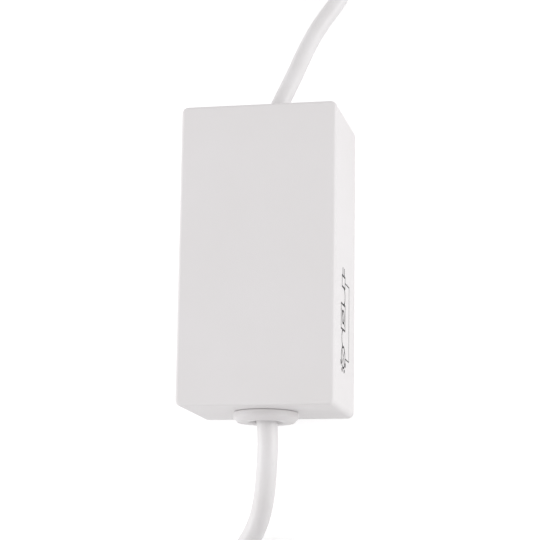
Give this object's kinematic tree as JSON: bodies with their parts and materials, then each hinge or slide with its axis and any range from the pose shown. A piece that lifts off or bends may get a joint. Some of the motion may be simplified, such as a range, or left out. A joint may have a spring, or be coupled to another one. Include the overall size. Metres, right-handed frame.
{
  "type": "inline dimmer",
  "caption": "Inline lamp dimmer: a plain rectangular case with a round bushed cord at each end, one cord with a flat two-pin plug, and its circuit inside.",
  "frame": {"origin": "centre of the case's back, on the surface that it lies on", "axes": "+Z out of the plain face, +Y along the case towards the lamp cord, +X across it"},
  "size_m": [0.0581, 0.38, 0.0446],
  "materials": {
    "case_plastic": "satin",
    "bushing_plastic": "satin",
    "cord_sheath": "smooth",
    "plug_plastic": "satin",
    "tie": "matte",
    "steel": "zinc plated",
    "nickel": "nickel plated",
    "tin": "tinned",
    "copper": "bare strands",
    "brown_core": "smooth",
    "blue_core": "smooth",
    "board": "solder mask",
    "terminal_grey": "moulded",
    "bar_plastic": "moulded",
    "black_plastic": "moulded",
    "blue_coat": "dipped",
    "yellow_case": "moulded",
    "ferrite": "sintered",
    "enamel": "enamelled",
    "aluminium": "sheet",
    "sleeve_black": "moulded",
    "collar_plastic": "moulded"
  },
  "bodies": {
    "base": {"base_plate": "case_plastic", "board_screws": "steel", "choke_core": "ferrite", "choke_winding": "enamel", "circuit_board": "board", "component_leads": "tin", "control_chip": "black_plastic", "cord_ties": "tie", "core_strands": "copper", "cover_screws": "steel", "electrolytic_capacitor": "black_plastic", "film_capacitor": "yellow_case", "fuse": "black_plastic", "heat_spreader": "aluminium", "input_bushing": "bushing_plastic", "input_terminal_housing": "terminal_grey", "lamp_cord": "cord_sheath", "lamp_end_ferrules": "collar_plastic", "lamp_end_live_core": "brown_core", "lamp_end_neutral_core": "blue_core", "lamp_hank": "cord_sheath", "lamp_sheath": "cord_sheath", "live_cores": "brown_core", "neutral_cores": "blue_core", "output_bushing": "bushing_plastic", "output_terminal_housing": "terminal_grey", "pairing_switch": "black_plastic", "plug_body": "plug_plastic", "plug_pin_sleeves": "sleeve_black", "plug_pins": "nickel", "radio_board": "board", "radio_header": "black_plastic", "radio_shield": "nickel", "supply_cord": "cord_sheath", "supply_hank": "cord_sheath", "supply_sheath": "cord_sheath", "terminal_contacts": "tin", "transformer_bobbin": "black_plastic", "transformer_core": "ferrite", "transistor_bodies": "black_plastic", "transistor_frames": "tin", "transistor_screws": "steel", "trimmer_base": "blue_coat", "varistor": "blue_coat"},
    "hood": {"hood": "case_plastic"},
    "input_clamp": {"input_clamp_bar": "bar_plastic", "input_clamp_screws": "steel"},
    "output_clamp": {"output_clamp_bar": "bar_plastic", "output_clamp_screws": "steel"},
    "pairing_plunger": {"pairing_plunger": "black_plastic"},
    "trimmer_rotor": {"trimmer_rotor": "case_plastic"},
    "input_live_screw": {"input_live_screw": "steel"},
    "input_live_cage": {"input_live_cage": "steel"},
    "input_neutral_screw": {"input_neutral_screw": "steel"},
    "input_neutral_cage": {"input_neutral_cage": "steel"},
    "output_live_screw": {"output_live_screw": "steel"},
    "output_live_cage": {"output_live_cage": "steel"},
    "output_neutral_screw": {"output_neutral_screw": "steel"},
    "output_neutral_cage": {"output_neutral_cage": "steel"}
  },
  "joints": [
    {"name": "hood_lift", "type": "slide", "parent": "base", "child": "hood", "axis": [0, 0, 1], "range_m": [0, 0.045]},
    {"name": "input_clamp_lift", "type": "slide", "parent": "base", "child": "input_clamp", "axis": [0, 0, 1], "range_m": [0, 0.0025]},
    {"name": "output_clamp_lift", "type": "slide", "parent": "base", "child": "output_clamp", "axis": [0, 0, 1], "range_m": [0, 0.0025]},
    {"name": "input_live_screw_turn", "type": "hinge", "parent": "base", "child": "input_live_screw", "pos_m": [-0.004, -0.01735, 0.01825], "axis": [0, 0, 1], "range_deg": [0, 1298]},
    {"name": "input_live_cage_travel", "type": "slide", "parent": "base", "child": "input_live_cage", "axis": [0, 0, -1], "range_m": [0, 0.0018]},
    {"name": "input_neutral_screw_turn", "type": "hinge", "parent": "base", "child": "input_neutral_screw", "pos_m": [0.004, -0.01735, 0.01825], "axis": [0, 0, 1], "range_deg": [0, 1298]},
    {"name": "input_neutral_cage_travel", "type": "slide", "parent": "base", "child": "input_neutral_cage", "axis": [0, 0, -1], "range_m": [0, 0.0018]},
    {"name": "output_live_screw_turn", "type": "hinge", "parent": "base", "child": "output_live_screw", "pos_m": [-0.004, 0.01735, 0.01825], "axis": [0, 0, 1], "range_deg": [0, 1298]},
    {"name": "output_live_cage_travel", "type": "slide", "parent": "base", "child": "output_live_cage", "axis": [0, 0, -1], "range_m": [0, 0.0018]},
    {"name": "output_neutral_screw_turn", "type": "hinge", "parent": "base", "child": "output_neutral_screw", "pos_m": [0.004, 0.01735, 0.01825], "axis": [0, 0, 1], "range_deg": [0, 1298]},
    {"name": "output_neutral_cage_travel", "type": "slide", "parent": "base", "child": "output_neutral_cage", "axis": [0, 0, -1], "range_m": [0, 0.0018]},
    {"name": "pairing_press", "type": "slide", "parent": "base", "child": "pairing_plunger", "axis": [0, 0, -1], "range_m": [0, 0.00025], "stiffness_N_per_m": 6000},
    {"name": "trimmer_turn", "type": "hinge", "parent": "base", "child": "trimmer_rotor", "pos_m": [-0.015, 0.019, 0.01185], "axis": [0, 0, -1], "range_deg": [0, 270]}
  ],
  "couplings": [
    {"joint": "input_live_screw_turn", "follows": "input_live_cage_travel", "rad_per_m": 12566},
    {"joint": "input_neutral_screw_turn", "follows": "input_neutral_cage_travel", "rad_per_m": 12566},
    {"joint": "output_live_screw_turn", "follows": "output_live_cage_travel", "rad_per_m": 12566},
    {"joint": "output_neutral_screw_turn", "follows": "output_neutral_cage_travel", "rad_per_m": 12566}
  ]
}
